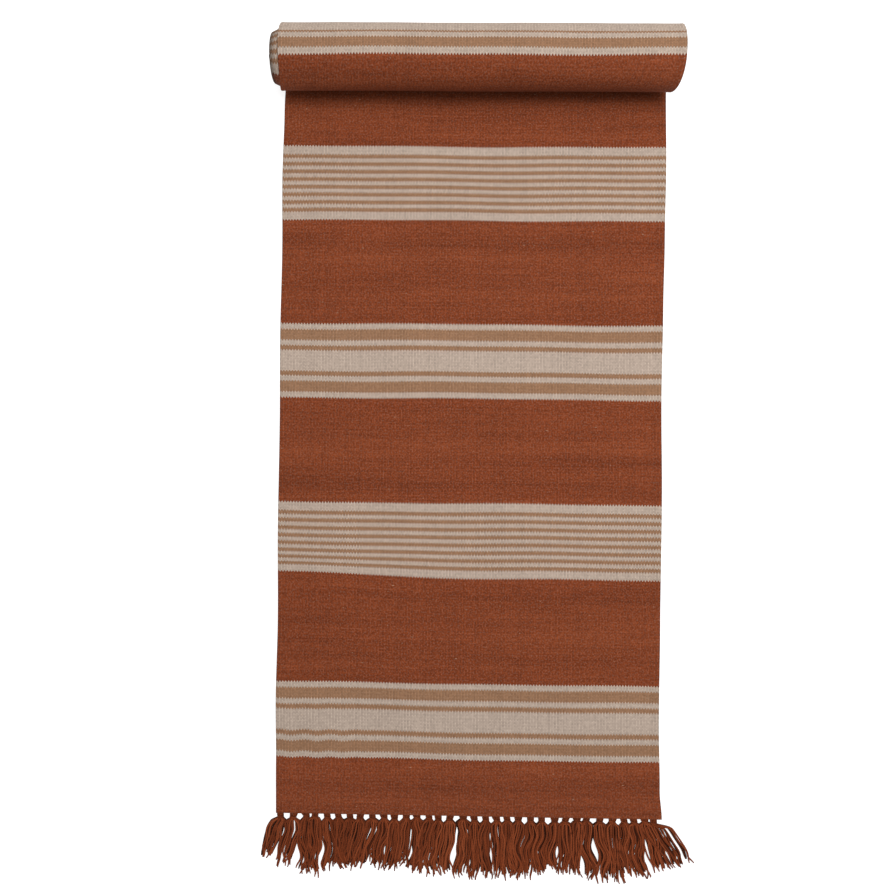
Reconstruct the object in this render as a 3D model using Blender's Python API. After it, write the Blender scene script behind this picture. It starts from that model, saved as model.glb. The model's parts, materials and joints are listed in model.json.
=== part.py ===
"""Runner rug: a cotton flatweave with knotted fringes, laid flat with its far end rolled up on top of it.

The cloth is cut across where its colour changes and where it folds. Past the flat part it rises round the
far side of a roll as narrow strips, each tangent to a spiral that tightens evenly, and then goes on round
inside as the rolled turns. +X runs across the rug, +Y towards the roll, and the floor is at Z = 0.
"""

import math

import bmesh
import bpy
from mathutils import Vector

# cloth
WIDTH = 0.600
THICKNESS = 0.004
END_FIELD = 0.0882
BAND = 0.1170
FIELD = 0.1645
BANDS = 7
SEAM_GAP = 0.0004

# roll
FLAT_LENGTH = 1.169
ROLL_RADIUS = 0.0485
TURN_PITCH = 0.0055
BENDS_PER_TURN = 10
BEND = 2 * math.pi / BENDS_PER_TURN
STRIPS = 4
# how far the outer turn has slid to the right and the inner turns to the left, and over which angles
OUTER_SLIDE = 0.008
INNER_SLIDE = 0.002
SLID_OUT = math.radians(72)
SLIDES_BACK = math.radians(288)
SLID_BACK = math.radians(396)
ROLL_STEP = math.radians(7.5)

# tassels of both fringes
TASSELS = 34
TASSEL_PITCH = WIDTH / TASSELS
TASSEL_SIDES = 10
FRINGE_LIFT = 0.0003
# sideways lean of the outermost tassel at each end, and how many tassels it fades away over
LEFT_SPLAY, LEFT_SPLAYED = 0.32, 3
RIGHT_SPLAY, RIGHT_SPLAYED = 0.53, 4
# distance from the cloth, half width and half height: at the cloth, round the knot, the skirt, the tips
TASSEL_SECTIONS = (
    (0.0006, 0.0022, 0.0012),
    (0.0028, 0.0026, 0.0014),
    (0.0048, 0.0048, 0.0019),
    (0.0075, 0.0056, 0.0020),
    (0.0102, 0.0046, 0.0018),
    (0.0122, 0.0034, 0.0014),
    (0.0180, 0.0046, 0.0015),
    (0.0340, 0.0066, 0.0015),
    (0.0620, 0.0074, 0.0013),
    (0.0830, 0.0064, 0.0010),
    (0.0920, 0.0034, 0.0006),
)
FAR_GROUPS = 2
FAR_THICKNESS = 0.0024
FAR_LENGTH = 0.088
FAR_HEADER = 0.0090
FAR_SLIT = 0.0026

RUST = (0.235, 0.062, 0.026)
YARN = (0.200, 0.050, 0.020)
SAND = (0.510, 0.380, 0.270)


def clear_scene():
    for thing in list(bpy.data.objects):
        bpy.data.objects.remove(thing, do_unlink=True)


def make_collection(name):
    made = bpy.data.collections.new(name)
    bpy.context.scene.collection.children.link(made)
    return made


def make_material(name, colour):
    made = bpy.data.materials.new(name)
    made.use_nodes = True
    shader = made.node_tree.nodes["Principled BSDF"]
    shader.inputs["Base Color"].default_value = (*colour, 1.0)
    shader.inputs["Roughness"].default_value = 0.95
    shader.inputs["Sheen Weight"].default_value = 0.3
    return made


def add_solid(name, points, faces, colour, origin):
    """A closed named solid with its faces turned outwards and its origin at the given point."""
    mesh = bpy.data.meshes.new(name)
    mesh.from_pydata([Vector(point) - origin for point in points], [], faces)
    work = bmesh.new()
    work.from_mesh(mesh)
    bmesh.ops.recalc_face_normals(work, faces=work.faces)
    work.to_mesh(mesh)
    work.free()
    mesh.materials.append(make_material(name, colour))
    solid = bpy.data.objects.new(name, mesh)
    solid.location = origin
    rug.objects.link(solid)


def turned(angle):
    """Along the cloth, and towards the roll's centre, where the cloth has turned up by angle."""
    return (
        Vector((0.0, math.cos(angle), math.sin(angle))),
        Vector((0.0, -math.sin(angle), math.cos(angle))),
    )


def reach(angle):
    """From the roll's centre to the middle of the cloth where it has turned by angle."""
    return ROLL_RADIUS - THICKNESS / 2 - TURN_PITCH * angle / (2 * math.pi)


def tangent_point(angle):
    centre = Vector((0.0, FLAT_LENGTH / 2, ROLL_RADIUS))
    return centre - reach(angle) * turned(angle)[1]


def corner(bend):
    """The hinge line after so many bends, where two neighbouring strips of the roll meet."""
    angle = bend * BEND
    step = (reach(angle + BEND) - reach(angle) * math.cos(BEND)) / math.sin(BEND)
    return tangent_point(angle) + step * turned(angle)[0]


def section_edges():
    """Distances from the cloth's near edge to each change of colour, ending at its far edge."""
    edges = [0.0, END_FIELD]
    for band in range(BANDS):
        edges.append(edges[-1] + BAND)
        edges.append(edges[-1] + (FIELD if band < BANDS - 1 else END_FIELD))
    return edges


def section_name(number):
    if number == 0:
        return "near_end_field"
    if number == 2 * BANDS:
        return "far_end_field"
    return f"band_{(number + 1) // 2}" if number % 2 else f"field_{number // 2}"


def section_colour(number):
    return SAND if number % 2 else RUST


def trim():
    """How far a strip stops short of its hinge line, so that it clears its neighbour at every bend."""
    return THICKNESS / 2 * math.tan(BEND / 2) + SEAM_GAP / 2


def strips_end():
    """How far along the cloth the last hinge line of the roll is, measured from the near edge."""
    along = FLAT_LENGTH + (corner(0) - tangent_point(0.0)).length
    for bend in range(STRIPS):
        along += (corner(bend + 1) - corner(bend)).length
    return along


def station(along):
    """(point, angle) of the rolled cloth at a distance from the near edge, past the last strip."""
    first = (STRIPS + 1) * BEND
    lead = (tangent_point(first) - corner(STRIPS)).length
    past = along - strips_end()
    if past < lead:
        return corner(STRIPS) + past * turned(first)[0], first
    shrink = TURN_PITCH / (2 * math.pi)
    start = reach(first)
    turn = (start - math.sqrt(start**2 - 2 * shrink * (past - lead))) / shrink
    return tangent_point(first + turn), first + turn


def slide(angle):
    """How far across the rolled cloth has slid where it has turned by angle: right first, then left."""
    out = min(1.0, angle / SLID_OUT)
    back = min(1.0, max(0.0, (angle - SLIDES_BACK) / (SLID_BACK - SLIDES_BACK)))
    return OUTER_SLIDE * out - (OUTER_SLIDE + INNER_SLIDE) * back


def sheet(name, columns, rows, thickness, colour, origin, present=None):
    """A slab of cloth on a grid of cells: columns are places across, rows are (point, angle)."""
    half = thickness / 2
    points = [
        point + Vector((x + slide(angle), 0.0, 0.0)) + side * half * turned(angle)[1]
        for side in (-1, 1)
        for point, angle in rows
        for x in columns
    ]
    wide, layer = len(columns), len(columns) * len(rows)

    def here(row, column):
        inside = 0 <= row < len(rows) - 1 and 0 <= column < wide - 1
        return inside and (present is None or present(row, column))

    faces = []
    for row in range(len(rows) - 1):
        for column in range(wide - 1):
            if not here(row, column):
                continue
            a = row * wide + column
            b, c, d = a + 1, a + wide + 1, a + wide
            faces += [(a, b, c, d), (a + layer, d + layer, c + layer, b + layer)]
            for p, q, beside in (
                (a, b, here(row - 1, column)),
                (b, c, here(row, column + 1)),
                (c, d, here(row + 1, column)),
                (d, a, here(row, column - 1)),
            ):
                if not beside:
                    faces.append((q, p, p + layer, q + layer))
    used = sorted({corner_number for face in faces for corner_number in face})
    renumbered = {old: new for new, old in enumerate(used)}
    faces = [tuple(renumbered[number] for number in face) for face in faces]
    add_solid(name, [points[number] for number in used], faces, colour, origin)


def flat_row(along):
    return Vector((0.0, along - FLAT_LENGTH / 2, THICKNESS / 2)), 0.0


def fold_line(along):
    return Vector((0.0, along - FLAT_LENGTH / 2, THICKNESS))


def build_flat_cloth(edges, across):
    """The sections that lie flat. Each has its origin on the fold line that it turns about."""
    folds = {0: 2, 1: 2, 2: 4, 3: 4, 4: 4, 5: 4, 6: 6, 7: 6, 8: 8}
    for number, fold in folds.items():
        start = edges[number] + (SEAM_GAP / 2 if number else 0.0)
        stop = edges[number + 1] - SEAM_GAP / 2
        if number == max(folds):
            stop = corner(0).y + FLAT_LENGTH / 2 - trim()
        origin = fold_line(edges[fold])
        rows = [flat_row(start), flat_row(stop)]
        sheet(section_name(number), across, rows, THICKNESS, section_colour(number), origin)


def build_strips(edges, across):
    """The strips that climb the far side of the roll, each with its origin on its hinge line."""
    along = FLAT_LENGTH + (corner(0) - tangent_point(0.0)).length
    for bend in range(STRIPS):
        low, high = corner(bend), corner(bend + 1)
        angle = (bend + 1) * BEND
        size = (high - low).length
        forward = turned(angle)[0]
        rows = [(low + trim() * forward, angle), (high - trim() * forward, angle)]
        banded = sum(edge < along + size / 2 for edge in edges) - 1
        name = f"roll_strip_{bend + 1}"
        sheet(name, across, rows, THICKNESS, section_colour(banded), low)
        along += size


def rolled_rows(start, stop):
    """Rows along the rolled cloth, close enough together for its curve."""
    turn = station(stop)[1] - station(start)[1]
    steps = max(2, round(turn / ROLL_STEP))
    return [station(start + (stop - start) * step / steps) for step in range(steps + 1)]


def build_turns(edges, across):
    """The rolled turns inside the strips, one solid for each woven section."""
    origin = corner(STRIPS)
    begin = strips_end() + trim()
    for number in range(len(edges) - 1):
        stop = edges[number + 1] - SEAM_GAP / 2
        if stop < begin:
            continue
        start = max(begin, edges[number] + SEAM_GAP / 2)
        name = "rolled_" + section_name(number)
        rows = rolled_rows(start, stop)
        sheet(name, across, rows, THICKNESS, section_colour(number), origin)


def build_far_fringe(edges):
    """The far fringe, curled round inside the roll: knotted heads side by side, then separate skirts."""
    start = edges[-1] + SEAM_GAP / 2
    rows = rolled_rows(start, start + FAR_HEADER)
    heads = len(rows) - 1
    rows += rolled_rows(start + FAR_HEADER, start + FAR_LENGTH)[1:]
    each = TASSELS // FAR_GROUPS
    for group in range(FAR_GROUPS):
        columns = []
        for tassel in range(group * each, (group + 1) * each):
            left = -WIDTH / 2 + tassel * TASSEL_PITCH + FAR_SLIT / 2
            columns += [left, left + TASSEL_PITCH - FAR_SLIT]
        name = f"far_fringe_{group + 1}"
        sheet(
            name,
            columns,
            rows,
            FAR_THICKNESS,
            YARN,
            corner(STRIPS),
            lambda row, column: row < heads or column % 2 == 0,
        )


def splay(number):
    """Sideways lean of a near tassel: none in the middle, most at the two ends of the row."""
    left = LEFT_SPLAY * max(0.0, 1 - (number - 1) / LEFT_SPLAYED)
    return RIGHT_SPLAY * max(0.0, 1 - (TASSELS - number) / RIGHT_SPLAYED) - left


def build_near_tassel(number):
    """One knotted tassel beyond the cloth's near edge, with its origin on that edge's fold line."""
    across = (number - 0.5) * TASSEL_PITCH - WIDTH / 2
    height = FRINGE_LIFT + max(section[2] for section in TASSEL_SECTIONS)
    points = []
    for away, half_width, half_height in TASSEL_SECTIONS:
        for side in range(TASSEL_SIDES):
            turn = 2 * math.pi * (side + 0.5) / TASSEL_SIDES
            x = across + splay(number) * away + half_width * math.cos(turn)
            z = height + half_height * math.sin(turn)
            points.append((x, -FLAT_LENGTH / 2 - away, z))
    last = len(points) - TASSEL_SIDES
    faces = [tuple(range(TASSEL_SIDES)), tuple(range(last, last + TASSEL_SIDES))]
    for ring in range(len(TASSEL_SECTIONS) - 1):
        for side in range(TASSEL_SIDES):
            a = ring * TASSEL_SIDES + side
            b = ring * TASSEL_SIDES + (side + 1) % TASSEL_SIDES
            faces.append((a, b, b + TASSEL_SIDES, a + TASSEL_SIDES))
    origin = fold_line(0.0) + Vector((across, 0.0, 0.0))
    add_solid(f"near_tassel_{number:02d}", points, faces, YARN, origin)


clear_scene()
rug = make_collection("runner_rug")
colour_edges = section_edges()
edge_to_edge = (-WIDTH / 2, WIDTH / 2)
build_flat_cloth(colour_edges, edge_to_edge)
build_strips(colour_edges, edge_to_edge)
build_turns(colour_edges, edge_to_edge)
build_far_fringe(colour_edges)
for tassel_number in range(1, TASSELS + 1):
    build_near_tassel(tassel_number)
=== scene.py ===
"""A striped cotton runner rug with knotted fringes, laid flat with its far end rolled up on top of it.

Every point of the cloth has a place in the cloth itself: u is the distance across it from its middle line,
v the distance along it from its near woven edge, and h the height above its middle layer. One function,
lay(), turns (u, v, h) into a place in the room, flat on the floor and then round the roll's spiral. The
cloth, both fringes and the weave are all worked out in those three numbers.
"""

import json
import math

import bpy
import numpy as np
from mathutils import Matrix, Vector


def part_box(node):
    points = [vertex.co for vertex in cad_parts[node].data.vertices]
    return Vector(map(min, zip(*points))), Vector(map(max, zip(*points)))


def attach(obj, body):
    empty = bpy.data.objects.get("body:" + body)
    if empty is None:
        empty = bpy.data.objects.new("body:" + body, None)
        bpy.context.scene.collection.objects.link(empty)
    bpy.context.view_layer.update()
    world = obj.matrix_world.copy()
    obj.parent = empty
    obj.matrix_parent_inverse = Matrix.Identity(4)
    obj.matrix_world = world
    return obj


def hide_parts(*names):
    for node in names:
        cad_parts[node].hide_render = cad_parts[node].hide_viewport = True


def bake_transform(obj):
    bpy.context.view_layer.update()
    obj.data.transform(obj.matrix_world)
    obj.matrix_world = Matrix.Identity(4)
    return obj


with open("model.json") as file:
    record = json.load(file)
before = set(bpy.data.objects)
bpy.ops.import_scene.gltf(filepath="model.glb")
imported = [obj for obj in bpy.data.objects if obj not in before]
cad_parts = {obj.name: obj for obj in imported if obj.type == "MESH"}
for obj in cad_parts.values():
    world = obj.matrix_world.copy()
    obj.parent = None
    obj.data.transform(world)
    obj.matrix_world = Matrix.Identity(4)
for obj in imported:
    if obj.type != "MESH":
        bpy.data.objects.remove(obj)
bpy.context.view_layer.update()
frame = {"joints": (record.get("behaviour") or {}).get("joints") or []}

HINGES = {joint["name"]: joint for joint in frame["joints"]}

# the cloth's size and the stripes' layout, all in metres
HALF_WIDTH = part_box("field_2")[1].x
NEAR_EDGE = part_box("near_end_field")[0].y
END_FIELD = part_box("near_end_field")[1].y - NEAR_EDGE
BAND = 0.1170
FIELD = 0.1645
BANDS = 7
LENGTH = 2 * END_FIELD + BANDS * BAND + (BANDS - 1) * FIELD
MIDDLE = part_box("field_2")[1].z / 2
HALF_THICK = 0.0017
SELVEDGE = 0.0030

# the roll: the middle layer's distance from its centre falls by an even amount each turn
ROLL_RADIUS = 0.0485
TURN_PITCH = 0.0055
BEND = math.radians(36)
BENDS = 5
STRETCH = math.tan(BEND / 2) / (BEND / 2)
FOLD_RUN = 0.044
TUCK = 0.0055
TUCKED_SHARE = 0.045
# each slide across, right or left: how far, the degrees it starts at and the degrees it takes
SLIDES = ((0.0085, 0, 80), (-0.0158, 205, 175), (-0.0012, 400, 380))
# each bulge out from an even spiral: how far, the degrees it is about and the degrees it is wide; all of them
# fade in over the first radians of the spiral
BULGES = ((0.0020, 100, 55), (0.0046, 262, 56), (0.0066, 618, 60))
BULGES_FADE_IN = 0.6

# fringes: each tassel is a neck, a knot wrapped round it and two layers of loose strands
TASSELS = 34
TASSEL_PITCH = 2 * HALF_WIDTH / TASSELS
STRANDS = 13
UNDER_STRANDS = 9
NECK_STRANDS = 7
STRAND_RADIUS = 0.00142
KNOT_AWAY = 0.0056
KNOT_HALF_WIDTH = 0.0036

# weave: the width of a rib, the length of a pick, how far colours mesh, and the selvedge's binding
RIB = 0.00225
PICK = 0.0025
TOOTH = 0.0030
BINDING = 0.0017
BINDING_PITCH = 0.0072


def ease(x):
    """A smooth step from 0 to 1: three times the square less twice the cube."""
    x = np.clip(x, 0.0, 1.0)
    return x * x * (3 - 2 * x)


def reach(angle):
    """From the roll's centre to the cloth's middle layer, where the cloth has turned by angle."""
    return ROLL_RADIUS - MIDDLE - TURN_PITCH * angle / (2 * math.pi)


def arc(angle):
    """Length of the spiral up to an angle: the reach summed over the angle."""
    return (ROLL_RADIUS - MIDDLE) * angle - TURN_PITCH * angle**2 / (4 * math.pi)


BEND_REACH = (reach(BEND) - reach(0.0) * math.cos(BEND)) / math.sin(BEND)
ROLL_Y = HINGES["unroll_1"]["pos_m"][1] - BEND_REACH
FLAT = ROLL_Y - NEAR_EDGE
HALF_TURN = BEND * BENDS


def angle_at(v):
    """The angle the cloth has turned by at v: none on the flat part, then arc() solved for its angle."""
    past = np.maximum(np.asarray(v, float) - FLAT, 0.0)
    outer = arc(HALF_TURN) * STRETCH
    run = np.where(past < outer, past / STRETCH, past - outer + arc(HALF_TURN))
    start = ROLL_RADIUS - MIDDLE
    shrink = TURN_PITCH / (2 * math.pi)
    return (start - np.sqrt(np.maximum(start**2 - 2 * shrink * run, 1e-9))) / shrink


def v_at(angle):
    """The distance along the cloth at which it has turned by angle."""
    return FLAT + arc(angle) + (STRETCH - 1) * arc(min(angle, HALF_TURN))


def slide(angle):
    """How far the rolled cloth has slid across: to the right on the outer turn, then back to the left."""
    return sum(far * ease((angle - math.radians(start)) / math.radians(run)) for far, start, run in SLIDES)


def through(x, places, values):
    """A curve through values at places, with a smooth step from each to the next."""
    number = np.clip(np.searchsorted(places, x) - 1, 0, len(places) - 2)
    low, high = np.take(places, number), np.take(places, number + 1)
    share = ease((x - low) / (high - low))
    return np.take(values, number) * (1 - share) + np.take(values, number + 1) * share


def edge_wander(v):
    """How far the left and right edges stray outwards along the cloth, where the weave drew in or spread.

    The curves are given in millimetres at distances along the cloth in metres.
    """
    left = through(
        v,
        (0, 0.08, 0.18, 0.3, 0.45, 0.6, 0.75, 0.88, 1.0, 1.1, 1.17, 1.3, 1.6),
        (-1.5, -0.5, 1.5, 0, 2, 1.5, 2.7, 1.5, 3, 1, -1, 1.5, 0),
    )
    right = through(
        v,
        (0, 0.045, 0.15, 0.3, 0.5, 0.65, 0.8, 0.9, 1.03, 1.13, 1.3, 1.6),
        (3, -0.5, -2.6, -1.3, 0, -1.5, 0.3, 2, 3.8, 2.5, 2, 0),
    )
    return left / 1000, right / 1000


def bulge(angle):
    """How far the turns stand out from an even spiral: a bell curve for each bulge.

    The first is on the roll's far side, the second on its near side and the third inside it.
    """
    out = 0.0
    for far, at, wide in BULGES:
        out = out + far * np.exp(-(((angle - math.radians(at)) / math.radians(wide)) ** 2))
    return out * ease(angle / BULGES_FADE_IN)


def tucked_in(share, angle):
    """How far towards their left selvedge the inner turns draw in, from 0 to 1."""
    at_the_edge = ease((TUCKED_SHARE - 1 - share) / TUCKED_SHARE)
    past_the_outer_turn = ease((angle - math.radians(330)) / math.radians(60))
    return at_the_edge * past_the_outer_turn


def swell(u, v):
    """How far the cloth lifts from lying dead flat: broad and fine waves, never negative.

    Each is a sine along the cloth times a sine across it, raised so that its lowest point is 0.
    """
    broad = np.sin(2 * math.pi * (v / 0.37 + 0.4 * u / HALF_WIDTH)) * np.sin(2 * math.pi * (u / 0.47 + 0.2))
    fine = np.sin(2 * math.pi * (v / 0.071 + 0.3)) * np.sin(2 * math.pi * (u / 0.093 + v / 0.31))
    return 0.00045 * (1 + broad) + 0.00012 * (1 + fine)


def lay(u, v, h):
    """The place in the room of cloth point (u, v, h): along Y up to the roll, then round its spiral."""
    u, v, h = np.broadcast_arrays(u, v, h)
    angle = angle_at(v)
    left, right = edge_wander(v)
    share = u / HALF_WIDTH
    x = u + right * np.clip(share, 0, 1) ** 3 + left * np.clip(share, -1, 0) ** 3 + slide(angle)
    lift = h + swell(u, v)
    radius = reach(angle) + bulge(angle) - lift - TUCK * tucked_in(share, angle)
    rolled = v > FLAT
    y = np.where(rolled, ROLL_Y + radius * np.sin(angle), NEAR_EDGE + v)
    z = np.where(rolled, ROLL_RADIUS - radius * np.cos(angle), MIDDLE + lift)
    return np.stack([x, y, z], axis=-1)


# ---------------------------------------------------------------------------------------------- meshes


def put(name, points, faces, uv, material, tone, sharp=None):
    """A smooth mesh object at the origin from points, faces and each point's place in the pattern.

    Where a face closes a ring, the places that start the ring again count as one turn further round.
    """
    mesh = bpy.data.meshes.new(name)
    mesh.from_pydata(points.reshape(-1, 3).tolist(), [], faces)
    corner = np.empty(len(mesh.loops), np.int32)
    mesh.loops.foreach_get("vertex_index", corner)
    first, total = np.empty((2, len(mesh.polygons)), np.int32)
    mesh.polygons.foreach_get("loop_start", first)
    mesh.polygons.foreach_get("loop_total", total)
    place = uv.reshape(-1, 2)[corner]
    place[:, 0] += np.repeat(np.maximum.reduceat(place[:, 0], first), total) - place[:, 0] > 0.5
    layer = mesh.uv_layers.new(name="weave")
    layer.data.foreach_set("uv", place.astype(np.float32).ravel())
    shade = mesh.attributes.new("tone", "FLOAT", "POINT")
    shade.data.foreach_set("value", tone.astype(np.float32).ravel())
    mesh.polygons.foreach_set("use_smooth", np.ones(len(mesh.polygons), bool))
    if sharp is not None:
        ends = np.empty(2 * len(mesh.edges), np.int32)
        mesh.edges.foreach_get("vertices", ends)
        crease = mesh.attributes.new("sharp_edge", "BOOLEAN", "EDGE")
        crease.data.foreach_set("value", sharp[ends.reshape(-1, 2)].all(axis=1))
    mesh.materials.append(material)
    made = bpy.data.objects.new(name, mesh)
    bpy.context.scene.collection.objects.link(made)
    return made


EDGE_STEPS = 5


def closed_section(columns):
    """Across and height of the cloth's closed outline: over the top, round one edge, back underneath."""
    top = np.linspace(-1.0, 1.0, columns) * (HALF_WIDTH - HALF_THICK)
    turn = np.linspace(math.pi / 2, -math.pi / 2, EDGE_STEPS + 2)[1:-1]
    edge = HALF_WIDTH - HALF_THICK + HALF_THICK * np.cos(turn)
    u = np.concatenate([top, edge, top[::-1], -edge[::-1]])
    h = np.concatenate([np.ones(columns), np.sin(turn), -np.ones(columns), np.sin(turn[::-1])])
    thicker = 1 + 0.16 * ease((np.abs(u) - HALF_WIDTH + 2 * SELVEDGE) / SELVEDGE)
    return u, h * HALF_THICK * thicker


def tube_faces(rows, columns):
    """Quads between neighbouring rings of points, closed round each ring."""
    row, column = np.meshgrid(np.arange(rows - 1), np.arange(columns), indexing="ij")
    a = row * columns + column
    b = row * columns + (column + 1) % columns
    return np.stack([a, b, b + columns, a + columns], axis=-1).reshape(-1, 4)


def cap_faces(columns, first, outwards):
    """Faces that close a flattened ring: each point of the top is joined to the one right below it.

    The ring is counted from the outermost point of its left edge, halfway round the edge's curve.
    """
    outermost = columns - 1 - EDGE_STEPS // 2
    ring = (np.arange(columns) + outermost) % columns + first
    half = columns // 2
    k = np.arange(1, half - 1)
    quads = np.stack([ring[k], ring[k + 1], ring[columns - k - 1], ring[columns - k]], axis=-1).tolist()
    quads += [[ring[0], ring[1], ring[-1]], [ring[half - 1], ring[half], ring[half + 1]]]
    return [face if outwards else face[::-1] for face in quads]


# where along the fifth band its stripes were woven out of place, and by how much, in metres
FIFTH_AT = (0.02265, 0.04623, 0.08146, 0.08429, 0.09325, 0.10772, BAND)
FIFTH_AHEAD = (0.0, -0.00425, -0.0066, -0.00189, -0.0022, 0.00063, 0.0)


def bow(u, v):
    """How far the stripes run ahead of where they should: slow waves and a few local pulls in the weave.

    The fifth band was woven with its last beige stripe wider and the tan stripe before it narrower.
    """
    drift = 0.0006 * np.sin(2 * math.pi * (u / 0.46 + v / 0.9))
    drift = drift + 0.0004 * np.sin(2 * math.pi * (u / 0.21 + v / 0.33))
    pull = 0.0085 * ease((-0.02 - u) / 0.24) * np.exp(-(((v - 0.365) / 0.034) ** 2))
    fifth = through(v - END_FIELD - 4 * (BAND + FIELD), FIFTH_AT, FIFTH_AHEAD)
    ripple = 0.0011 * ease((-0.12 - u) / 0.1) * np.exp(-(((v - 0.115) / 0.05) ** 2)) * np.sin(u / 0.0065)
    return drift - pull + ripple + fifth


def cloth_piece(name, v_rows, ends, columns=121):
    """A run of the cloth: its outline carried along v, closed by a rounded selvage or a flat joint.

    ends says for each end whether it is the cloth's own edge, where the thickness falls to nothing round a
    half circle, or a joint with the next run, which a flat face closes.
    """
    u, h = closed_section(columns)
    thin = np.ones(len(v_rows))
    round_off = np.linspace(0, math.pi / 2, 6)
    in_from_edge = HALF_THICK * (1 - np.sin(round_off))
    clear_of_edge = HALF_THICK * 1.2
    if ends[0]:
        v_rows = np.concatenate([in_from_edge[::-1], v_rows[v_rows > clear_of_edge]])
        thin = np.concatenate([np.cos(round_off[::-1]), np.ones(len(v_rows) - len(round_off))])
    if ends[1]:
        stop = v_rows[-1]
        v_rows = np.concatenate([v_rows[v_rows < stop - clear_of_edge], stop - in_from_edge])
        thin = np.concatenate([np.ones(len(v_rows) - len(round_off)), np.cos(round_off)])
    U, V = np.broadcast_arrays(u[None, :], v_rows[:, None])
    points = lay(U, V, h[None, :] * np.maximum(thin, 0.01)[:, None])
    uv = np.stack([U, V + bow(U, V)], axis=-1)
    rows, wide = U.shape
    faces = tube_faces(rows, wide).tolist()
    faces += cap_faces(wide, 0, False) + cap_faces(wide, (rows - 1) * wide, True)
    sharp = np.zeros(rows * wide, bool)
    sharp[:wide] = not ends[0]
    sharp[(rows - 1) * wide :] = not ends[1]
    # the tone, how far the inner turns are drawn in, darkens them in the material: painted shade
    return put(name, points, faces, uv, CLOTH, tucked_in(U / HALF_WIDTH, angle_at(V)), sharp)


# ------------------------------------------------------------------------------------------- materials


def add(tree, kind, values=(), **settings):
    """A node with its settings. values go to its inputs in order: a socket is linked, None is left."""
    made = tree.nodes.new(kind)
    for name, value in settings.items():
        setattr(made, name, value)
    named = values.items() if isinstance(values, dict) else zip(range(len(made.inputs)), values)
    for key, value in named:
        if isinstance(value, bpy.types.NodeSocket):
            tree.links.new(value, made.inputs[key])
        elif value is not None:
            made.inputs[key].default_value = value
    return made


def calc(tree, operation, *values):
    """One step of arithmetic."""
    return add(tree, "ShaderNodeMath", values, operation=operation).outputs[0]


def tint(tree, mode, factor, a, b):
    """Two colours mixed."""
    made = add(tree, "ShaderNodeMix", data_type="RGBA", blend_type=mode)
    for socket, value in zip((made.inputs[0], made.inputs[6], made.inputs[7]), (factor, a, b)):
        if isinstance(value, bpy.types.NodeSocket):
            tree.links.new(value, socket)
        else:
            socket.default_value = value
    return made.outputs[2]


def vary(tree, base, value, amount):
    """base, raised or lowered by amount times how far value is from a half."""
    return calc(tree, "ADD", base, calc(tree, "MULTIPLY", calc(tree, "SUBTRACT", value, 0.5), amount))


def rise_and_fall(tree, turns):
    """A sine of a number of turns, raised to run from 0 to 1."""
    wave = calc(tree, "SINE", calc(tree, "MULTIPLY", turns, 2 * math.pi))
    return calc(tree, "MULTIPLY_ADD", wave, 0.5, 0.5)


def shaded(tree, colour, shade):
    """A colour made lighter or darker by a shade, 1 leaving it as it is."""
    grey = add(tree, "ShaderNodeCombineXYZ", (shade, shade, shade)).outputs[0]
    return tint(tree, "MULTIPLY", 1.0, colour, grey)


def noise(tree, vector, scale, detail=2.0, roughness=0.5):
    """Cloudy noise from 0 to 1 over the pattern's vector."""
    values = {"Vector": vector, "Scale": scale, "Detail": detail, "Roughness": roughness}
    return add(tree, "ShaderNodeTexNoise", values).outputs[0]


def stretch(tree, vector, across, along, shift=0.0):
    """The pattern's vector scaled differently across and along the cloth."""
    values = {"Vector": vector, "Location": (shift, shift, 0.0), "Scale": (across, along, 1.0)}
    return add(tree, "ShaderNodeMapping", values).outputs[0]


def group(name, inputs, outputs):
    """An empty node group with named sockets: (name, kind) or (name, kind, starting value)."""
    tree = bpy.data.node_groups.new(name, "ShaderNodeTree")
    for direction, sockets in (("INPUT", inputs), ("OUTPUT", outputs)):
        for label, kind, *start in sockets:
            made = tree.interface.new_socket(name=label, in_out=direction, socket_type="NodeSocket" + kind)
            if start:
                made.default_value = start[0]
    return tree, tree.nodes.new("NodeGroupInput").outputs, tree.nodes.new("NodeGroupOutput").inputs


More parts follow.
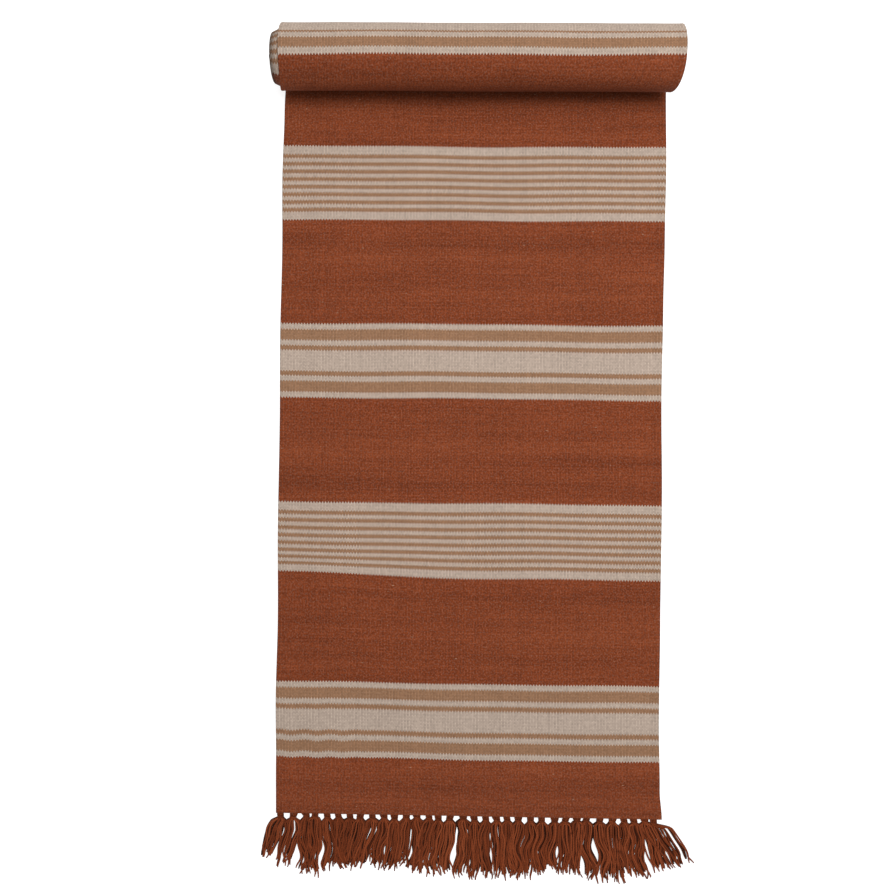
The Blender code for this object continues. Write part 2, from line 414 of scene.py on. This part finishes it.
def weft_beads():
    """Weft-faced plain weave: warps make ribs along the cloth, and each pick of weft shows as a bead on
    every other rib, so the beads of neighbouring ribs are half a pick apart and colours meet in teeth.

    Beads' number across and along come from rounding down, their height from two half sines, and the teeth
    from a triangle wave across every two ribs.
    """
    tree, given, out = group(
        "weft beads",
        (("Place", "Vector"), ("Rib", "Float", RIB), ("Pick", "Float", PICK), ("Tooth", "Float", TOOTH)),
        [(label, "Float") for label in ("Stripe place", "Height", "Over under", "Bead tone", "Rib tone")],
    )
    place = add(tree, "ShaderNodeSeparateXYZ", (given["Place"],)).outputs
    across = calc(tree, "DIVIDE", place[0], given["Rib"])
    rib = calc(tree, "FLOOR", across)
    odd = calc(tree, "MULTIPLY", calc(tree, "FLOORED_MODULO", rib, 2.0), 0.5)
    along = calc(tree, "ADD", calc(tree, "DIVIDE", place[1], given["Pick"]), odd)
    pick = calc(tree, "FLOOR", along)
    tooth = calc(tree, "SUBTRACT", calc(tree, "PINGPONG", calc(tree, "ADD", across, 0.5), 1.0), 0.5)
    tree.links.new(calc(tree, "MULTIPLY_ADD", tooth, given["Tooth"], place[1]), out["Stripe place"])
    over = calc(tree, "FLOORED_MODULO", calc(tree, "ADD", rib, pick), 2.0)
    over = calc(tree, "SUBTRACT", calc(tree, "MULTIPLY_ADD", over, 0.5, odd), 0.5)
    tree.links.new(over, out["Over under"])
    ridge = calc(tree, "SINE", calc(tree, "MULTIPLY", calc(tree, "FRACT", across), math.pi))
    bead = calc(tree, "SINE", calc(tree, "MULTIPLY", calc(tree, "FRACT", along), math.pi))
    bead = calc(tree, "MULTIPLY_ADD", calc(tree, "POWER", bead, 0.6), 0.55, 0.45)
    tree.links.new(calc(tree, "MULTIPLY", calc(tree, "POWER", ridge, 0.7), bead), out["Height"])
    for label, pair in (("Bead tone", (rib, pick)), ("Rib tone", (rib, 31.0))):
        cell = add(tree, "ShaderNodeCombineXYZ", pair).outputs[0]
        chance = add(tree, "ShaderNodeTexWhiteNoise", (cell,), noise_dimensions="2D").outputs["Value"]
        tree.links.new(chance, out[label])
    return tree


def loose_fibre():
    """Fine fuzz, specks of pale fibre and slow patches of shade, from noise at three sizes."""
    tree, given, out = group(
        "loose fibre",
        (("Place", "Vector"), ("Size", "Float", 1.0)),
        (("Fuzz", "Float"), ("Speck", "Float"), ("Patch", "Float")),
    )
    sized = add(tree, "ShaderNodeVectorMath", (given["Place"],), operation="SCALE")
    tree.links.new(given["Size"], sized.inputs["Scale"])
    tree.links.new(noise(tree, sized.outputs[0], 2600.0, 3.0, 0.65), out["Fuzz"])
    speck = calc(tree, "SUBTRACT", noise(tree, sized.outputs[0], 400.0, 1.0, 0.5), 0.46)
    tree.links.new(calc(tree, "MAXIMUM", calc(tree, "MULTIPLY", speck, 0.36), 0.0), out["Speck"])
    tree.links.new(noise(tree, sized.outputs[0], 9.0, 3.0, 0.55), out["Patch"])
    return tree


# the dyes, rust from its middle shade to its deepest and brightest, and the bloom of loose fibre on them
RUST = (0.154, 0.0312, 0.0082, 1.0)
RUST_DEEP = (0.118, 0.0225, 0.0052, 1.0)
RUST_BRIGHT = (0.190, 0.0420, 0.0125, 1.0)
BEIGE = (0.352, 0.278, 0.226, 1.0)
TAN = (0.225, 0.119, 0.065, 1.0)
PALE_FIBRE = (0.46, 0.36, 0.29, 1.0)
SLUB = (0.400, 0.280, 0.190, 1.0)
BLOOM = (0.85, 0.55, 0.40, 1.0)

# the stripes, in millimetres from a band's near edge: the wide kind one by one, the fine kind by its pitch
WIDE_BEIGES = (0, 25.95, 41.99, 82.40, 108.35)
WIDE_TANS = (8.65, 34.60, 75.01, 91.05)
FINE_TANS = 8
FINE_TAN_START = 12.78
FINE_TAN_STOP = 18.78
FINE_PITCH = 12.096


def stripe_starts():
    """Where each stripe starts in the two kinds of band, as a share of the band, and how pale it is."""
    beige, tan = 1.0, 0.5
    wide = sorted([(start, beige) for start in WIDE_BEIGES] + [(start, tan) for start in WIDE_TANS])
    fine = [(0, beige)]
    for number in range(FINE_TANS):
        fine.append((FINE_TAN_START + number * FINE_PITCH, tan))
        fine.append((FINE_TAN_STOP + number * FINE_PITCH, beige))
    return [[(start / 1000 / BAND, pale) for start, pale in kind] for kind in (wide, fine)]


def stripe_pattern():
    """The stripes in one repeat: masks of beige and of tan at a distance along the cloth.

    Each kind of band has its own ramp, which covers the band and a little rust before and after it.
    """
    tree, given, out = group("stripe pattern", [("Along", "Float")], [("Beige", "Float"), ("Tan", "Float")])
    repeat = 2 * (BAND + FIELD)
    past = calc(tree, "SUBTRACT", given["Along"], END_FIELD - FIELD / 2)
    along = calc(tree, "FLOORED_MODULO", past, repeat)
    spare = 0.01
    covered = 1 - 2 * spare
    pales = []
    for number, starts in enumerate(stripe_starts()):
        start = FIELD / 2 + number * (BAND + FIELD)
        share = calc(tree, "MULTIPLY_ADD", along, covered / BAND, spare - start * covered / BAND)
        ramp = add(tree, "ShaderNodeValToRGB", (share,))
        ramp.color_ramp.interpolation = "CONSTANT"
        stops = ramp.color_ramp.elements
        stops[0].color = (0.0, 0.0, 0.0, 1.0)
        stops[1].position, stops[1].color = 1 - spare, (0.0, 0.0, 0.0, 1.0)
        for place, pale in starts:
            stops.new(spare + covered * place).color = (pale, pale, pale, 1.0)
        pales.append(ramp.outputs[0])
    pale = calc(tree, "ADD", *pales)
    tree.links.new(calc(tree, "GREATER_THAN", pale, 0.75), out["Beige"])
    tree.links.new(calc(tree, "COMPARE", pale, 0.5, 0.1), out["Tan"])
    return tree


def new_material(name):
    """A material, its node tree and its shader."""
    made = bpy.data.materials.new(name)
    made.use_nodes = True
    return made, made.node_tree, made.node_tree.nodes["Principled BSDF"]


def rust_dye(tree, dye):
    """Rust from its deepest shade where dye is 0 to its brightest where it is 1."""
    ramp = add(tree, "ShaderNodeValToRGB", (dye,))
    stops = ramp.color_ramp.elements
    stops[0].position, stops[0].color = 0.0, RUST_DEEP
    stops[1].position, stops[1].color = 1.0, RUST_BRIGHT
    stops.new(0.5).color = RUST
    return ramp.outputs[0]


def finish_cotton(tree, shader, height, depth, strength, specular, sheen):
    """Relief from a height, hardly any gloss, and a faint bloom of loose fibre."""
    bump = add(tree, "ShaderNodeBump", {"Strength": strength, "Distance": depth, "Height": height})
    tree.links.new(bump.outputs[0], shader.inputs["Normal"])
    shader.inputs["Specular IOR Level"].default_value = specular
    shader.inputs["Sheen Weight"].default_value = sheen
    shader.inputs["Sheen Roughness"].default_value = 0.5
    shader.inputs["Sheen Tint"].default_value = BLOOM


def woven_cotton():
    """The cloth: stripes on weft beads, with streaks of dye along the weft, slubs and a bound selvedge.

    dye says how bright the rust is, and shade how light any colour is, with painted shade in the hollows
    between the beads. Where the mesh's tone says that the cloth is drawn in, at the inner turns of the roll's
    end, it is darker: painted shade.
    """
    made, tree, shader = new_material("woven cotton")
    place = add(tree, "ShaderNodeUVMap", uv_map="weave").outputs[0]
    beads = add(tree, "ShaderNodeGroup", node_tree=WEFT_BEADS)
    tree.links.new(place, beads.inputs["Place"])
    fibre = add(tree, "ShaderNodeGroup", node_tree=LOOSE_FIBRE)
    tree.links.new(place, fibre.inputs["Place"])
    stripes = add(tree, "ShaderNodeGroup", node_tree=STRIPES)
    tree.links.new(beads.outputs["Stripe place"], stripes.inputs["Along"])
    beads, fibre, stripes = beads.outputs, fibre.outputs, stripes.outputs

    streak = noise(tree, stretch(tree, place, 9.0, 420.0), 1.0, 3.0, 0.6)
    lot = noise(tree, stretch(tree, place, 1.3, 34.0, 7.0), 1.0, 2.0, 0.5)
    dye = calc(tree, "MULTIPLY_ADD", calc(tree, "SUBTRACT", streak, 0.5), 1.5, 0.5)
    dye = vary(tree, dye, lot, 1.6)
    dye = vary(tree, dye, beads["Bead tone"], 0.35)
    colour = tint(tree, "MIX", stripes["Beige"], rust_dye(tree, dye), BEIGE)
    colour = tint(tree, "MIX", stripes["Tan"], colour, TAN)

    slub = noise(tree, stretch(tree, place, 130.0, 520.0, 3.0), 1.0, 0.0)
    slub = calc(tree, "MULTIPLY", calc(tree, "GREATER_THAN", slub, 0.86), 0.5)
    colour = tint(tree, "MIX", slub, colour, SLUB)

    # painted shade: darker in the hollows between the beads, lighter on their crowns
    shade = calc(tree, "MULTIPLY_ADD", beads["Height"], 0.40, 0.72)
    shade = calc(tree, "ADD", shade, calc(tree, "MULTIPLY", beads["Over under"], 0.17))
    for label, amount in (("Bead tone", 0.22), ("Rib tone", 0.08)):
        shade = vary(tree, shade, beads[label], amount)
    for label, amount in (("Fuzz", 0.26), ("Patch", 0.16)):
        shade = vary(tree, shade, fibre[label], amount)

    apart = add(tree, "ShaderNodeSeparateXYZ", (place,)).outputs
    selvedge = calc(tree, "GREATER_THAN", calc(tree, "ABSOLUTE", apart[0]), HALF_WIDTH - BINDING)
    turn = calc(tree, "FRACT", calc(tree, "DIVIDE", apart[1], BINDING_PITCH))
    wrap = calc(tree, "GREATER_THAN", turn, 0.5)
    wrapped = calc(tree, "MULTIPLY", calc(tree, "MULTIPLY", selvedge, wrap), 0.32)
    shade = calc(tree, "MULTIPLY", shade, calc(tree, "SUBTRACT", 1.0, wrapped))
    # painted shade: the inner turns drawn in at the roll's end are darkened
    painted_roll_end_shade = add(tree, "ShaderNodeAttribute", attribute_name="tone").outputs["Fac"]
    shade = calc(tree, "MULTIPLY", shade, calc(tree, "MULTIPLY_ADD", painted_roll_end_shade, -0.72, 1.0))
    colour = shaded(tree, colour, shade)
    tree.links.new(tint(tree, "MIX", fibre["Speck"], colour, PALE_FIBRE), shader.inputs["Base Color"])

    rough = calc(tree, "MULTIPLY_ADD", fibre["Fuzz"], 0.18, 0.80)
    tree.links.new(rough, shader.inputs["Roughness"])
    height = calc(tree, "ADD", beads["Height"], calc(tree, "MULTIPLY", fibre["Fuzz"], 0.35))
    finish_cotton(tree, shader, height, depth=0.0007, strength=0.55, specular=0.10, sheen=0.03)
    return made


def fringe_yarn():
    """Twisted cotton yarn: slanting plies from a sine of the way round plus the way along, and loose fibre.

    A strand is darkest underneath, painted shade which a sine of the way round picks out, and strands that
    lie buried in their tassel, with a tone below 0, are darker all round, also painted shade.
    """
    made, tree, shader = new_material("fringe yarn")
    place = add(tree, "ShaderNodeUVMap", uv_map="weave").outputs[0]
    apart = add(tree, "ShaderNodeSeparateXYZ", (place,)).outputs
    slant = calc(tree, "ADD", apart[0], calc(tree, "DIVIDE", apart[1], 0.0042))
    ply = rise_and_fall(tree, slant)
    spot = add(tree, "ShaderNodeTexCoord").outputs["Object"]
    fibre = add(tree, "ShaderNodeGroup", node_tree=LOOSE_FIBRE)
    tree.links.new(spot, fibre.inputs["Place"])
    tone = add(tree, "ShaderNodeAttribute", attribute_name="tone").outputs["Fac"]
    dye = vary(tree, tone, fibre.outputs["Patch"], 0.6)
    # painted shade: each strand's underside darker and its top lighter
    upper = rise_and_fall(tree, apart[0])
    shade = calc(tree, "MULTIPLY_ADD", calc(tree, "POWER", upper, 1.3), 0.92, 0.10)
    # painted shade: darker in the grooves between the plies
    shade = calc(tree, "ADD", shade, calc(tree, "MULTIPLY", ply, 0.16))
    shade = vary(tree, shade, fibre.outputs["Fuzz"], 0.25)
    colour = shaded(tree, rust_dye(tree, dye), shade)
    # painted shade: strands buried in their tassel, with a tone below 0, darker all round
    painted_buried_shade = calc(tree, "MAXIMUM", calc(tree, "MINIMUM", tone, 0.0), -0.9)
    colour = shaded(tree, colour, calc(tree, "MULTIPLY_ADD", painted_buried_shade, 0.95, 1.0))
    tree.links.new(colour, shader.inputs["Base Color"])
    tree.links.new(calc(tree, "MULTIPLY_ADD", fibre.outputs["Fuzz"], 0.2, 0.78), shader.inputs["Roughness"])
    height = calc(tree, "ADD", ply, calc(tree, "MULTIPLY", fibre.outputs["Fuzz"], 0.5))
    finish_cotton(tree, shader, height, depth=0.0004, strength=0.5, specular=0.12, sheen=0.04)
    return made


WEFT_BEADS = weft_beads()
LOOSE_FIBRE = loose_fibre()
STRIPES = stripe_pattern()
CLOTH = woven_cotton()
YARN = fringe_yarn()


# --------------------------------------------------------------------------------------------- the cloth


def rows_between(start, stop, step):
    """Places from start to stop, evenly spaced and about step apart."""
    return np.linspace(start, stop, max(2, int(round((stop - start) / step)) + 1))


def build_cloth():
    """The cloth in runs: one on each body, and between bodies one at the hinge between them, on neither body.

    A fold's run lies on the side of its hinge that is lifted.
    """
    bodies = ("near_end", "near_half", "middle", "far_half", "roll_lead")
    middle = bodies.index("middle")
    folds = ("fold_near_end", "fold_near_half", "fold_far_half", "lift_roll")
    made, v = {}, 0.0

    def add_run(name, low, high, step, ends=(False, False)):
        made[name] = (cloth_piece(f"cloth_{name}", rows_between(low, high, step), ends), high - low)
        return made[name][0]

    for number, body in enumerate(bodies):
        if number < len(folds):
            fold_v = HINGES[folds[number]]["pos_m"][1] - NEAR_EDGE
            low = fold_v - FOLD_RUN if number < middle else fold_v
        else:
            low = FLAT
        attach(add_run(body, v, low, 0.005, (number == 0, False)), body)
        v = low
        if number < len(folds):
            v = low + FOLD_RUN
            fold = add_run(folds[number], low, v, 0.0018)
            start, end = ((0.0, NEAR_EDGE + place, MIDDLE) for place in (low, v))
            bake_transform(fold)
    for bend in range(BENDS):
        low, high = v_at(bend * BEND), v_at((bend + 1) * BEND)
        run = add_run(f"unroll_{bend + 1}", low, high, 0.0015)
        start, end = ((0.0, *lay(0.0, place, 0.0)[1:]) for place in (low, high))
        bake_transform(run)
    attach(add_run("roll", v_at(HALF_TURN), LENGTH, 0.003, (False, True)), "roll")
    return made


# --------------------------------------------------------------------------------------------- fringes


def tubes(paths, radii, sides=6):
    """Round tubes along many paths at once: each point carries a ring square to its path.

    paths is (tube, point, 3) and radii (tube, point). The ring's first direction is level, square to the
    path, and its second is square to both.
    """
    ahead = np.gradient(paths, axis=1)
    ahead /= np.linalg.norm(ahead, axis=2, keepdims=True) + 1e-12
    level = np.cross(ahead, (0.0, 0.0, 1.0))
    level /= np.linalg.norm(level, axis=2, keepdims=True) + 1e-12
    above = np.cross(level, ahead)
    turn = np.arange(sides) * 2 * math.pi / sides
    ring = level[:, :, None] * np.cos(turn)[:, None] + above[:, :, None] * np.sin(turn)[:, None]
    return paths[:, :, None] + ring * radii[:, :, None, None]


def strand_mesh(name, sets):
    """One mesh of many strands, from (paths, radii, tones), with each strand's ends closed to a point."""
    points, faces, uvs, tones, base = [], [], [], [], 0
    for paths, radii, tone in sets:
        rings = tubes(paths, radii)
        count, rows, sides, _ = rings.shape
        steps = np.linalg.norm(np.diff(paths, axis=1), axis=2)
        run = np.concatenate([np.zeros((count, 1)), np.cumsum(steps, axis=1)], axis=1)
        around = np.broadcast_to(np.arange(sides) / sides, (count, rows, sides))
        along = np.broadcast_to(run[:, :, None], (count, rows, sides))
        poles = paths[:, (0, -1)]
        each = rows * sides + 2
        points.append(np.concatenate([rings.reshape(count, -1, 3), poles], axis=1).reshape(-1, 3))
        uv = np.stack([around, along], axis=-1).reshape(count, -1, 2)
        pole_uv = np.stack([np.full((count, 2), 0.5), run[:, (0, -1)]], axis=-1)
        uvs.append(np.concatenate([uv, pole_uv], axis=1).reshape(-1, 2))
        tones.append(np.repeat(tone, each))
        quads = tube_faces(rows, sides)[:, ::-1]
        side = np.arange(sides)
        first = np.stack([side, (side + 1) % sides, np.full(sides, rows * sides)], axis=-1)
        last = np.stack([(side + 1) % sides, side, np.full(sides, rows * sides + 1)], axis=-1)
        last[:, :2] += (rows - 1) * sides
        offsets = base + each * np.arange(count)[:, None, None]
        faces += (quads + offsets).reshape(-1, 4).tolist()
        faces += (first + offsets).reshape(-1, 3).tolist() + (last + offsets).reshape(-1, 3).tolist()
        base += each * count
    return put(name, np.concatenate(points), faces, np.concatenate(uvs), YARN, np.concatenate(tones))


def tassel(seed, centre, lean, length, width, place):
    """One knotted tassel as strand sets: a neck, a wrapped knot and a skirt of loose wavy strands.

    Each strand is x and height as functions of the distance from the cloth: the neck draws together to the
    knot, the knot's yarn is a helix round it, and a skirt strand spreads out smoothly from the knot. The
    whole skirt sways by one slow sine, each strand wanders on it by two of its own, and its tip strays.
    place() turns (across, away, height) into the room.
    """
    chance = np.random.default_rng(seed)
    knot_away = KNOT_AWAY + chance.uniform(-0.0012, 0.0016)
    knot = centre + chance.normal(0, 0.0009)
    root = chance.uniform(0.0040, 0.0060)

    t, q = np.linspace(0, 1, 8)[None, :], np.linspace(-1, 1, NECK_STRANDS)[:, None]
    across = centre + (knot - centre) * ease(t) + q * (root + (KNOT_HALF_WIDTH - root) * ease(t))
    across = across + 0.0005 * np.sin(5 * t + 4 * q)
    away = -0.0012 + (knot_away + 0.001) * t + 0 * q
    height = 0.0001 + 0.0010 * t * np.cos(7 * q)
    # painted shade: the neck's tones lie mostly below 0, which the yarn darkens as if in shade
    tones = chance.uniform(-0.45, 0.1, NECK_STRANDS)
    sets = [(place(across, away, height), np.full(across.shape, 0.00110), tones)]

    s = np.linspace(0, 1, 40)[None, :]
    swing = 2 * math.pi * (2.3 * s + chance.uniform())
    across = knot + 0.0040 * np.cos(swing) + 0.0005 * (s - 0.5)
    away = knot_away - 0.0022 + 0.0044 * s + 0.0010 * np.cos(swing)
    height = 0.0014 + 0.0019 * np.sin(swing)
    radii = 0.00145 * np.minimum(1, 8 * np.minimum(s, 1 - s) + 0.5)
    # the knot's tone: below 0 it is darkened as painted shade, above 0 it is brighter dye
    sets.append((place(across, away, height), radii, chance.uniform(-0.3, 0.3, 1)))

    sway = chance.uniform(0.0008, 0.0042) * np.array([1.0, 0.45])
    sway_at = chance.uniform(0, 2 * math.pi, 2)
    shoulder = chance.uniform(0.003, 0.009)
    for upper, count in ((True, STRANDS), (False, UNDER_STRANDS)):
        t = np.linspace(0, 1, 34)[None, :]
        q = (np.linspace(-1, 1, count) + chance.uniform(-0.16, 0.16, count))[:, None]
        own = length * chance.uniform(*((0.84, 1.06) if upper else (0.80, 0.97)), count)[:, None]
        swung = own * t / 0.07
        together = sway[0] * (np.sin(4.6 * swung + sway_at[0]) - np.sin(sway_at[0]))
        together = together + sway[1] * (np.sin(9.5 * swung + sway_at[1]) - np.sin(sway_at[1]))
        phase = chance.uniform(0, 2 * math.pi, (3, count, 1))
        wave = chance.uniform(0.0005, 0.0024, (2, count, 1)) * (1.0 if upper else 0.4)
        wander = wave[0] * np.sin(5.5 * swung + phase[0]) + 0.55 * wave[1] * np.sin(13 * swung + phase[1])
        wander = (wander - wander[:, :1]) * (0.35 + 0.9 * t)
        opened = ease(own * t / shoulder) * (1 - 0.22 * ease((t - 0.3) / 0.7))
        spread = KNOT_HALF_WIDTH + (width / 2 - KNOT_HALF_WIDTH) * opened
        stray = chance.normal(0, 0.0032 if upper else 0.0010, count)[:, None]
        hook = chance.normal(0, 0.0022 if upper else 0.0006, count)[:, None]
        leading = np.clip(q * np.sign(lean) * 0.5 + 0.5, 0, 1)
        early = 1.25 - 0.75 * np.clip(np.abs(lean) / 0.04, 0, 1) * leading
        across = knot + q * spread + lean * t**early + together * ease(t / 0.3) + wander
        across = across + stray * t**2 + hook * ease((t - 0.8) / 0.2)
        away = knot_away + own * t * (1 - 0.12 * np.abs(lean) / 0.03)
        layer = (np.arange(count) * 2 % 3)[:, None] * 0.0015
        layer = (layer + chance.uniform(0, 0.0010, (count, 1))) * upper
        height = -0.0003 + 0.0010 * upper + layer * (1 - 0.45 * ease(t)) + 0.0003 * np.sin(9 * t + phase[2])
        thick = STRAND_RADIUS * (1.0 if upper else 1.25)
        radii = thick * chance.uniform(0.82, 1.12, (count, 1)) * (1 - 0.3 * ease((t - 0.9) / 0.1)) + 0 * t
        # painted shade: under strands get tones below 0, darkened as buried; upper strands' tones vary at
        # random, and those below 0 are darkened as painted shade too
        tones = chance.uniform(-0.25, 0.95, count) if upper else chance.uniform(-0.85, -0.5, count)
        sets.append((place(across, away, height), radii, tones))
    return sets


def near_place(across, away, height):
    """Beyond the near edge, a place on the floor: away is the distance out from the cloth."""
    across, away, height = np.broadcast_arrays(across, away, height)
    return np.stack([across, NEAR_EDGE - away, MIDDLE + height], axis=-1)


def far_place(across, away, height):
    """Beyond the far edge, inside the roll, where the strands curl on round the spiral."""
    return lay(across, LENGTH + away, height)


def build_near_fringe():
    """Seventeen pairs of tassels, each pair on its own hinge along the cloth's near edge.

    Their sideways leans and their lengths, in millimetres, follow curves along the row, with some chance.
    """
    made = []
    chance = np.random.default_rng(52)
    numbers = np.arange(TASSELS)
    lean_at = (0, 1, 2, 3, 5, 7, 9, 13, 16, 22, 28, 30, 31, 32, 33)
    lean = (-24, -12, -4, 0, 5, -13, -8, -13, 0, -2, 6, 9, 14, 22, 38)
    size_at = (0, 3, 5, 11, 15, 22, 24, 26, 28, 31, 33)
    size = (70, 90, 76, 78, 86, 88, 66, 86, 90, 84, 76)
    widths = np.full(TASSELS, 0.0185)
    widths[1], widths[-2:] = 0.024, (0.022, 0.032)
    leans = through(numbers, lean_at, lean) / 1000 + chance.normal(0, 0.0022, TASSELS)
    lengths = through(numbers, size_at, size) / 1000 * chance.uniform(0.95, 1.05, TASSELS)
    shifts = 0.0028 + chance.normal(0, 0.0013, TASSELS) + 0.005 * np.exp(-(((numbers - 29.3) / 1.3) ** 2))
    shifts[0], shifts[-1] = 0.0, -0.001
    for pair in range(TASSELS // 2):
        sets = []
        for number in (2 * pair, 2 * pair + 1):
            centre = -HALF_WIDTH + (number + 0.5) * TASSEL_PITCH + shifts[number]
            sets += tassel(100 + number, centre, leans[number], lengths[number], widths[number], near_place)
        piece = strand_mesh(f"near_fringe_{pair + 1:02d}", sets)
        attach(piece, f"tassels_{pair + 1:02d}")
        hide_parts(*(f"near_tassel_{number + 1:02d}" for number in (2 * pair, 2 * pair + 1)))
        made.append(piece)
    return made


def build_far_fringe():
    """The far fringe, curled up in the middle of the roll, in two runs of seventeen tassels."""
    made = []
    half = TASSELS // 2
    for part in range(2):
        sets = []
        for number in range(half * part, half * (part + 1)):
            centre = -HALF_WIDTH + (number + 0.5) * TASSEL_PITCH
            sets += tassel(300 + number, centre, 0.002 * math.sin(number * 1.7), 0.066, 0.0168, far_place)
        piece = strand_mesh(f"far_fringe_strands_{part + 1}", sets)
        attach(piece, "roll")
        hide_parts(f"far_fringe_{part + 1}")
        made.append(piece)
    return made


def declare_sheets(cloth, near_fringe, far_fringe):
    """Each run of cloth replaces its CAD solids, which are hidden."""
    stands_for = {
        "near_end": ("near_end_field", "band_1"),
        "near_half": ("field_1", "band_2"),
        "middle": ("field_2", "band_3"),
        "far_half": ("field_3", "band_4"),
        "roll_lead": ("field_4",),
        "unroll_1": ("roll_strip_1",),
        "unroll_2": ("roll_strip_2",),
        "unroll_3": ("roll_strip_3",),
        "unroll_4": ("roll_strip_4",),
        "roll": (
            *("rolled_band_5", "rolled_field_5", "rolled_band_6"),
            *("rolled_field_6", "rolled_band_7", "rolled_far_end_field"),
        ),
    }
    for name, (run, length) in cloth.items():
        if name in stands_for:
            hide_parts(*stands_for[name])


# --------------------------------------------------------------------------------- floor, light, camera


def build_studio():
    """A pale floor, a soft light from above and beyond the roll, and even light from all round."""
    mesh = bpy.data.meshes.new("studio_floor")
    corners = ((-1, -1), (1, -1), (1, 1), (-1, 1))
    mesh.from_pydata([(x * 30, y * 30, -0.0006) for x, y in corners], [], [(0, 1, 2, 3)])
    floor = bpy.data.objects.new("studio_floor", mesh)
    bpy.context.scene.collection.objects.link(floor)
    made, _, shader = new_material("pale floor")
    shader.inputs["Base Color"].default_value = (0.42, 0.42, 0.42, 1.0)
    shader.inputs["Roughness"].default_value = 0.9
    shader.inputs["Specular IOR Level"].default_value = 0.0
    shader.inputs["Emission Color"].default_value = (1.0, 1.0, 1.0, 1.0)
    shader.inputs["Emission Strength"].default_value = 0.76
    mesh.materials.append(made)

    world = bpy.data.worlds.new("studio")
    world.use_nodes = True
    world.node_tree.nodes["Background"].inputs["Color"].default_value = (1.0, 1.0, 1.0, 1.0)
    world.node_tree.nodes["Background"].inputs["Strength"].default_value = 0.62
    bpy.context.scene.world = world

    lamp = bpy.data.lights.new("soft_box", "AREA")
    lamp.shape, lamp.size, lamp.size_y, lamp.energy = "RECTANGLE", 1.9, 1.2, 56.0
    lamp_object = bpy.data.objects.new("soft_box", lamp)
    lamp_object.location = (0.5, 0.62, 2.2)
    aim = Vector((0.0, -0.1, 0.0)) - lamp_object.location
    lamp_object.rotation_mode = "QUATERNION"
    lamp_object.rotation_quaternion = aim.to_track_quat("-Z", "Y")
    bpy.context.scene.collection.objects.link(lamp_object)


def build_camera():
    """A camera almost straight above the rug, a little towards its near end."""
    camera = bpy.data.cameras.new("camera")
    camera.lens, camera.sensor_width = 32.1, 36.0
    camera_object = bpy.data.objects.new("camera", camera)
    camera_object.location = (-0.0202, -0.0279, 1.25)
    camera_object.rotation_euler = (0.01757, 0.0158, 0.01103)
    bpy.context.scene.collection.objects.link(camera_object)
    bpy.context.scene.camera = camera_object


bpy.context.scene.view_settings.view_transform = "Standard"
build_camera()
build_studio()
runs = build_cloth()
declare_sheets(runs, build_near_fringe(), build_far_fringe())
bpy.context.view_layer.update()
